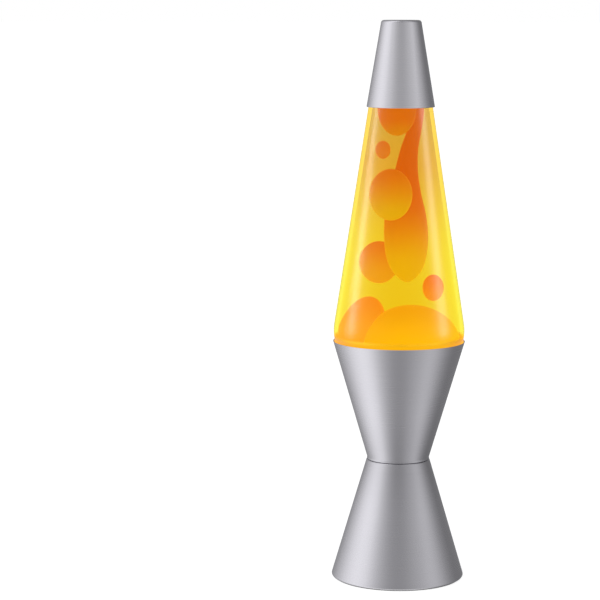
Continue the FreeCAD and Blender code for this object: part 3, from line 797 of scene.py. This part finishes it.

# Each piece's painted glow at its top and at its foot, yellower at the foot where the bulb's light is
# painted on, and the heights between which one turns to the other
POOL_GLOW = ((0.82, 0.40, 0.0), (0.90, 0.48, 0.0), 0.160, 0.182)
COLUMN_GLOW = ((0.72, 0.18, 0.0), (0.78, 0.52, 0.0), 0.198, 0.252)
MOUND_GLOW = ((0.88, 0.31, 0.03), (0.90, 0.42, 0.03), 0.16, 0.188)
DROPS = [
    ("wax_under_cap", "wax_top", "globe", ((0.74, 0.20, 0.0), (0.72, 0.31, 0.0), 0.294, 0.306)),
    ("wax_big_drop", "wax_ball", "ball_wax", ((0.69, 0.20, 0.0), (0.69, 0.43, 0.0), 0.240, 0.272)),
    ("wax_small_drop", "wax_bead", "bead_wax",
     ((0.72, 0.22, 0.02), (0.72, 0.26, 0.02), 0.280, 0.290)),
    ("wax_left_drop", "wax_left_egg", "left_egg_wax",
     ((0.80, 0.25, 0.02), (0.83, 0.45, 0.03), 0.196, 0.224)),
    ("wax_right_drop", "wax_right_egg", "right_egg_wax",
     ((0.80, 0.20, 0.0), (0.82, 0.29, 0.0), 0.188, 0.203)),
]


def within_glass(verts):
    """Points further out than the cavity drawn in along their radius to just inside the glass."""
    radius = np.hypot(verts[:, 0], verts[:, 1])
    limit = cavity_radius(verts[:, 2]) - WAX_GAP
    share = np.where(radius > limit, limit / np.maximum(radius, ON_AXIS), 1.0)
    verts = verts.copy()
    verts[:, :2] *= share[:, None]
    return verts


def closed_rings(name, rings, low, high):
    """An object from rings stored row by row, lowest first, with a fan to a point at each end."""
    rows, segments = rings.shape[:2]
    verts = np.vstack([rings.reshape(-1, 3), low, high])
    faces = grid_faces(rows, segments)
    faces += fan(rows * segments, 0, segments, up=False)
    faces += fan(rows * segments + 1, (rows - 1) * segments, segments, up=True)
    return mesh_object(name, verts, faces, WAX_SHARP)


def blob(name, centre, reach, lean=0.0, segments=96, rows=48):
    """A drop of wax: an ellipsoid by latitude and longitude, its top leaning towards +X.

    x = a cos(lat) cos(lon), y = b cos(lat) sin(lon) and z = c sin(lat), then turned about Y by the
    lean, and drawn in where it would pass the glass.
    """
    lat = np.linspace(-math.pi / 2, math.pi / 2, rows + 1)[1:-1, None]
    lon = np.linspace(0, 2 * math.pi, segments, endpoint=False)
    x = reach[0] * np.cos(lat) * np.cos(lon)
    y = reach[1] * np.cos(lat) * np.sin(lon)
    z = reach[2] * np.sin(lat) + 0 * lon
    verts = np.stack([x, y, z], axis=-1).reshape(-1, 3)
    verts = np.vstack([verts, [0, 0, -reach[2]], [0, 0, reach[2]]])
    cos, sin = math.cos(math.radians(lean)), math.sin(math.radians(lean))
    verts = within_glass(verts @ np.array([[cos, 0, -sin], [0, 1, 0], [sin, 0, cos]]) + centre)
    return closed_rings(name, verts[:-2].reshape(rows - 1, segments, 3), verts[-2], verts[-1])


def through(stations, count):
    """A smooth curve through stations, in cubic pieces.

    With t from 0 to 1 along a piece, a point is (2t^3 - 3t^2 + 1) start + (3t^2 - 2t^3) end, plus
    (t^3 - 2t^2 + t) and (t^3 - t^2) times the slopes there, which are those between the neighbours.
    """
    stations = np.asarray(stations, float)
    length = np.r_[0, np.cumsum(np.linalg.norm(np.diff(stations, axis=0), axis=1))]
    slope = np.gradient(stations, length, axis=0)
    place = np.linspace(0, length[-1], count)
    piece = np.clip(np.searchsorted(length, place, side="right") - 1, 0, len(length) - 2)
    span = (length[piece + 1] - length[piece])[:, None]
    t = (place - length[piece])[:, None] / span
    start, end = stations[piece], stations[piece + 1]
    rise, fall = slope[piece] * span, slope[piece + 1] * span
    return ((2 * t**3 - 3 * t**2 + 1) * start + (t**3 - 2 * t**2 + t) * rise
            + (3 * t**2 - 2 * t**3) * end + (t**3 - t**2) * fall)


def column(name, segments=96, rows=150):
    """The tall column: level ovals carried along a smooth curve, closed by a fan at each end.

    Each oval is x = cx + a cos(t), y = cy + b sin(t) at its own height.
    """
    low, high = heights("wax_column")
    path = through(COLUMN, rows) * MM
    path[:, 0] = np.clip(path[:, 0], low, high)
    angle = np.linspace(0, 2 * math.pi, segments, endpoint=False)
    x = path[:, 1:2] + path[:, 3:4] * np.cos(angle)
    y = path[:, 2:3] + path[:, 4:5] * np.sin(angle)
    z = np.repeat(path[:, :1], segments, axis=1)
    foot, head = path[[0, -1]][:, [1, 2, 0]]
    return closed_rings(name, np.stack([x, y, z], axis=-1), foot, head)


def pool_height(x, y):
    """The pool's top: the dome's ellipsoid blended into the level round it by a rounded maximum."""
    spread = ((x - POOL_CENTRE[0]) / POOL_REACH[0])**2 + ((y - POOL_CENTRE[1]) / POOL_REACH[1])**2
    dome = POOL_CENTRE[2] + POOL_REACH[2] * np.sqrt(np.maximum(1 - spread, 0))
    lift = dome - WAX_LEVEL
    return WAX_LEVEL + (lift + np.sqrt(lift**2 + POOL_SOFT**2)) / 2


def pool(name, segments=160, rows=70):
    """The melted wax on the floor: up just inside the glass, then over its top to the middle.

    The side is (r cos a, r sin a, z) along the cavity's own outline. The top is rings at even shares
    of the radius at which it meets the glass, each point at the pool's height there.
    """
    angle = np.linspace(0, 2 * math.pi, segments, endpoint=False)
    edge = np.full(segments, cavity_radius(WAX_LEVEL) - WAX_GAP)
    for _ in range(POOL_EDGE_ROUNDS):
        edge = cavity_radius(pool_height(edge * np.cos(angle), edge * np.sin(angle))) - WAX_GAP
    share = np.linspace(1, 0, rows + 1)[:-1, None]
    x, y = edge * share * np.cos(angle), edge * share * np.sin(angle)
    top = np.stack([x, y, pool_height(x, y)], axis=-1)
    wall = rounded(cavity_line(), GLASS_STEPS)
    wall = wall[(wall[:, 1] < WAX_LEVEL - POOL_WALL_DROP) & (wall[:, 0] > POOL_WALL_INNER)]
    radius = wall[:, :1] - WAX_GAP
    height = np.repeat(wall[:, 1:2] + WAX_GAP, segments, axis=1)
    side = np.stack([radius * np.cos(angle), radius * np.sin(angle), height], axis=-1)
    low = [0, 0, wall[0, 1] + WAX_GAP]
    high = [0, 0, float(pool_height(0.0, 0.0))]
    return closed_rings(name, np.vstack([side, top]), low, high)


def make_wax():
    """The pool, the column and the mound, then the drops, each with its own painted glow."""
    def paint(name, colours):
        return material(name + "_paint", wax(*colours))

    name = "wax_floor_pool"
    dress(pool(name), "globe", "wax", paint(name, POOL_GLOW), "wax_pool")
    name = "wax_tall_column"
    dress(column(name), "globe", "wax", paint(name, COLUMN_GLOW), "wax_column")
    name = "wax_rising_mound"
    mound = blob(name, MOUND_CENTRE, MOUND_REACH, MOUND_LEAN)
    dress(mound, "globe", "wax", paint(name, MOUND_GLOW), "wax_mound")
    for name, node, body, colours in DROPS:
        dress(blob(name, *reach_of(node)), body, "wax", paint(name, colours), node)


# ---------------------------------------------------------------- small CAD pieces, cleaned and painted

def refined(node):
    """A copy of a CAD node with its triangles joined and its curved faces smooth."""
    source = frame["nodes"][node]
    mesh = source.data.copy()
    obj = bpy.data.objects.new(node + "_piece", mesh)
    bpy.context.scene.collection.objects.link(obj)
    work = bmesh.new()
    work.from_mesh(mesh)
    bmesh.ops.remove_doubles(work, verts=work.verts, dist=SAME_POINT)
    work.to_mesh(mesh)
    work.free()
    mesh.shade_smooth()
    mesh.set_sharp_from_angle(angle=math.radians(SMALL_SHARP))
    return obj


def make_small_pieces():
    """Every CAD node that no piece stands for yet, painted by its slot."""
    slots = {part["node"]: part["material_slot"] for part in frame["record"]["subparts"]}
    members = frame["record"]["behaviour"]["bodies"].items()
    bodies = {node: body for body, nodes in members for node in nodes}
    for node, source in frame["nodes"].items():
        if not source.hide_render:
            dress(refined(node), bodies[node], slots[node], PAINTS[slots[node]], node)


# ---------------------------------------------------------------- light, floor and camera

# Brightness round the lamp: degrees to the right of the front, and level
STUDIO = [(-180, 0.24), (-148, 0.34), (-121, 0.58), (-101, 0.82), (-80, 0.95), (-60, 0.86),
          (-48, 0.66), (-37, 0.51), (-25, 0.39), (-10, 0.30), (5, 0.29), (16, 0.315), (30, 0.385),
          (50, 0.47), (61, 0.54), (74, 0.53), (87, 0.42), (103, 0.27), (123, 0.18), (150, 0.20),
          (180, 0.24)]
STUDIO_BLUE = 1.02

# Straight down, the studio is an even grey: the heights on a unit sphere at which it is complete and
# at which it ends, and its level
BELOW_FULL, BELOW_NONE, BELOW_LEVEL = -0.97, -0.8, 0.75

# A tall strip at each side for the glass, and a broad light in front for the cap: where they stand,
# in degrees to the right of the front and metres, their sizes and their powers
STRIP_LEFT, STRIP_RIGHT = -93.0, 84.0
STRIP_AWAY, STRIP_HEIGHT = 1.5, 1.6
STRIP_SIZE = (0.46, 3.2)
STRIP_POWER = 60.0
FILL_TURN, FILL_AWAY, FILL_HEIGHT = 12.0, 1.2, 0.75
FILL_SIZE = (3.6, 1.1)
FILL_POWER = 1.45

FLOOR_SIDES, FLOOR_R, FLOOR_DROP = 96, 30.0, 0.0002
FLOOR_GREY, FLOOR_GLOW = 0.5, 0.86

CAMERA_BACK, CAMERA_UP = 1.52008, 0.384889
CAMERA_YAW, CAMERA_DIP, CAMERA_ROLL = 2.461, 7.488, 0.119
LENS, SENSOR = 139.714, 36.0


def ramp_round(shader, turn, levels):
    """Brightness round the lamp, from levels given by degrees to the right of the front."""
    stops = [(0.5 + degrees / 360.0, (level, level, level * STUDIO_BLUE))
             for degrees, level in levels]
    return shader.node("ShaderNodeValToRGB", {"stops": stops}, {0: turn})["Color"]


def soft_light(name, degrees, away, size, height, power, piece):
    """A flat upright light that one piece alone reflects, at an angle to the right of the front."""
    light = bpy.data.lights.new(name, "AREA")
    light.shape = "RECTANGLE"
    light.size, light.size_y = size
    light.energy = power
    lamp = bpy.data.objects.new(name, light)
    bpy.context.scene.collection.objects.link(lamp)
    turn = math.radians(degrees)
    lamp.location = (away * math.sin(turn), -away * math.cos(turn), height)
    lamp.rotation_euler = (math.pi / 2, 0, turn)
    lamp.visible_camera = False
    lamp.visible_transmission = False
    receivers = bpy.data.collections.new("lit_by_" + name)
    receivers.objects.link(bpy.data.objects[piece])
    lamp.light_linking.receiver_collection = receivers


def studio_light():
    """A still studio: broad soft light on the left, weaker on the right, and a white background."""
    world = bpy.data.worlds.new("studio")
    world.use_nodes = True
    world.node_tree.nodes.clear()
    bpy.context.scene.world = world
    shader = Shader(world.node_tree)
    vector = shader.node("ShaderNodeTexCoord")["Generated"]
    parts = shader.node("ShaderNodeSeparateXYZ", None, {0: vector})
    turn = parts["X"].angle_to(-parts["Y"]) / (2 * math.pi) + 0.5
    below = 1 - parts["Z"].smooth(BELOW_FULL, BELOW_NONE)
    around = shader.mix(below, ramp_round(shader, turn, STUDIO), grey(BELOW_LEVEL))
    path = shader.node("ShaderNodeLightPath")
    seen = path["Is Camera Ray"].maximum(path["Is Transmission Ray"])
    colour = shader.mix(seen, around, grey(1.0))
    back = shader.node("ShaderNodeBackground", None, {"Color": colour, "Strength": 1.0})
    out = shader.node("ShaderNodeOutputWorld")
    world.node_tree.links.new(back.node.outputs[0], out.node.inputs["Surface"])
    for name, degrees in (("strip_left", STRIP_LEFT), ("strip_right", STRIP_RIGHT)):
        soft_light(name, degrees, STRIP_AWAY, STRIP_SIZE, STRIP_HEIGHT, STRIP_POWER, GLASS_PIECE)
    soft_light("cap_fill", FILL_TURN, FILL_AWAY, FILL_SIZE, FILL_HEIGHT, FILL_POWER, CAP_PIECE)


def make_floor():
    """A pale round floor."""
    bpy.ops.mesh.primitive_circle_add(vertices=FLOOR_SIDES, radius=FLOOR_R, fill_type="NGON",
                                      location=(0, 0, -FLOOR_DROP))
    floor = bpy.context.object
    floor.name = "studio_floor"

    def paint(shader):
        return {"Base Color": grey(FLOOR_GREY), "Roughness": 1.0, "Specular IOR Level": 0.0,
                "Emission Color": grey(1.0), "Emission Strength": FLOOR_GLOW}
    floor.data.materials.append(material("studio_floor", paint))
    floor.visible_glossy = False


def make_camera():
    """The camera stands in front, above the lamp's top, and looks a little down and to the left."""
    yaw, dip, roll = (math.radians(a) for a in (CAMERA_YAW, CAMERA_DIP, CAMERA_ROLL))
    data = bpy.data.cameras.new("camera")
    data.lens = LENS
    data.sensor_width = SENSOR
    camera = bpy.data.objects.new("camera", data)
    bpy.context.scene.collection.objects.link(camera)
    right = Vector((math.cos(yaw), math.sin(yaw), 0))
    level = math.cos(dip)
    ahead = Vector((-math.sin(yaw) * level, math.cos(yaw) * level, -math.sin(dip)))
    up = right.cross(ahead)
    across = right * math.cos(roll) + up * math.sin(roll)
    upright = up * math.cos(roll) - right * math.sin(roll)
    turn = Matrix((across, upright, -ahead)).transposed()
    camera.matrix_world = Matrix.Translation((0, -CAMERA_BACK, CAMERA_UP)) @ turn.to_4x4()
    bpy.context.scene.camera = camera


bpy.context.scene.view_settings.view_transform = "Standard"
make_base()
make_globe()
make_liquid()
make_wax()
make_small_pieces()
studio_light()
make_floor()
make_camera()
